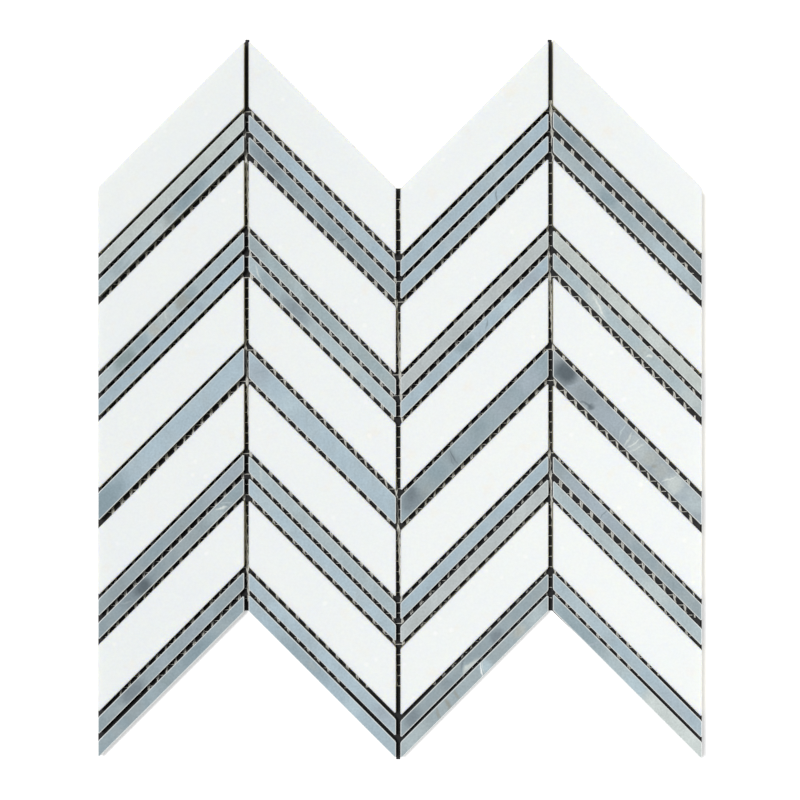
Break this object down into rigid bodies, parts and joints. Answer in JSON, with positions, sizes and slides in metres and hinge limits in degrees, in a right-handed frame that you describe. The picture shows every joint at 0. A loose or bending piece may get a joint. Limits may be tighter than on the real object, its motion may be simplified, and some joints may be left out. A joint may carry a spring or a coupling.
{
  "type": "chevron marble mosaic tile sheet",
  "caption": "Mosaic tile sheet of white marble bars and narrow blue-grey marble strips in slanted columns that meet as chevrons, on a fibreglass mesh, for facing a wall or floor.",
  "frame": {"origin": "centre of the sheet at the back of the mesh, where it lies on the floor", "axes": "+X across the columns, +Y up the columns towards the end with the points beside the middle joint's notch, +Z out of the polished face"},
  "size_m": [0.3028, 0.3601, 0.01],
  "materials": {
    "white_marble": "polished white marble with eased top edges and sawn sides",
    "grey_marble": "polished blue-grey marble with pale ground edges, each strip its own tone",
    "mesh": "coated glass-fibre scrim, off-white"
  },
  "bodies": {
    "root": {"column1_bar01_white": "white_marble", "column1_bar02_thin": "grey_marble", "column1_bar03_thin": "grey_marble", "column1_bar04_white": "white_marble", "column1_bar05_thin": "grey_marble", "column1_bar06_thin": "grey_marble", "column1_bar07_white": "white_marble", "column1_bar08_wide": "grey_marble", "column1_bar09_white": "white_marble", "column1_bar10_thin": "grey_marble", "column1_bar11_thin": "grey_marble", "column1_bar12_white": "white_marble", "column1_bar13_thin": "grey_marble", "column1_bar14_thin": "grey_marble", "column2_bar01_white": "white_marble", "column2_bar02_thin": "grey_marble", "column2_bar03_thin": "grey_marble", "column2_bar04_white": "white_marble", "column2_bar05_thin": "grey_marble", "column2_bar06_thin": "grey_marble", "column2_bar07_white": "white_marble", "column2_bar08_wide": "grey_marble", "column2_bar09_white": "white_marble", "column2_bar10_thin": "grey_marble", "column2_bar11_thin": "grey_marble", "column2_bar12_white": "white_marble", "column2_bar13_thin": "grey_marble", "column2_bar14_thin": "grey_marble", "column3_bar01_white": "white_marble", "column3_bar02_thin": "grey_marble", "column3_bar03_thin": "grey_marble", "column3_bar04_white": "white_marble", "column3_bar05_thin": "grey_marble", "column3_bar06_thin": "grey_marble", "column3_bar07_white": "white_marble", "column3_bar08_wide": "grey_marble", "column3_bar09_white": "white_marble", "column3_bar10_thin": "grey_marble", "column3_bar11_thin": "grey_marble", "column3_bar12_white": "white_marble", "column3_bar13_thin": "grey_marble", "column3_bar14_thin": "grey_marble", "column4_bar01_white": "white_marble", "column4_bar02_thin": "grey_marble", "column4_bar03_thin": "grey_marble", "column4_bar04_white": "white_marble", "column4_bar05_thin": "grey_marble", "column4_bar06_thin": "grey_marble", "column4_bar07_white": "white_marble", "column4_bar08_wide": "grey_marble", "column4_bar09_white": "white_marble", "column4_bar10_thin": "grey_marble", "column4_bar11_thin": "grey_marble", "column4_bar12_white": "white_marble", "column4_bar13_thin": "grey_marble", "column4_bar14_thin": "grey_marble", "mesh_warp": "mesh", "mesh_weft": "mesh"}
  },
  "joints": []
}
